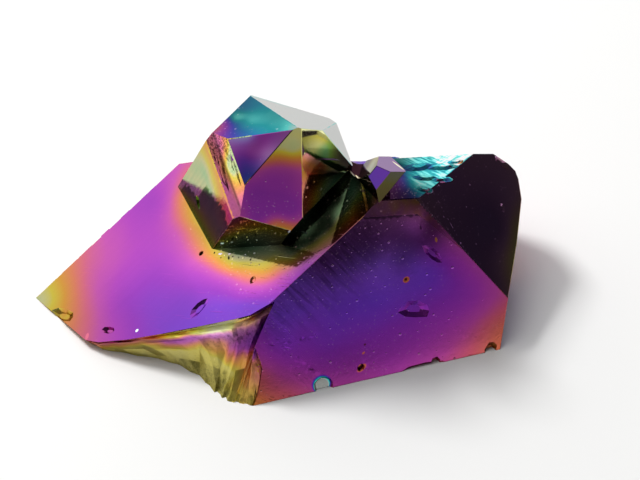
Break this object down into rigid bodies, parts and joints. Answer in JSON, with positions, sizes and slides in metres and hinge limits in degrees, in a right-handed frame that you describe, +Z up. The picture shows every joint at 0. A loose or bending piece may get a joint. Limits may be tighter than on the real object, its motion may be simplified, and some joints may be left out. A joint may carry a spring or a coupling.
{
  "type": "titanium aura quartz crystal group",
  "caption": "Stout quartz crystal lying on its broken side, with an upright crystal and a tiny one grown out of it, all under an iridescent metallic film.",
  "frame": {"origin": "middle of the bounding box at the surface that the group rests on", "axes": "+Z up as it rests, +X to the right along the stout crystal's long front face, +Y to the back"},
  "size_m": [0.0508, 0.029, 0.0256],
  "materials": {
    "filmed_quartz": "opaque mirror-bright metallic interference film on quartz: gold, magenta, violet, blue and teal by its thickness, glossy on crystal faces and crumbly on the break"
  },
  "bodies": {
    "root": {"crystal_cluster": "filmed_quartz"}
  },
  "joints": []
}
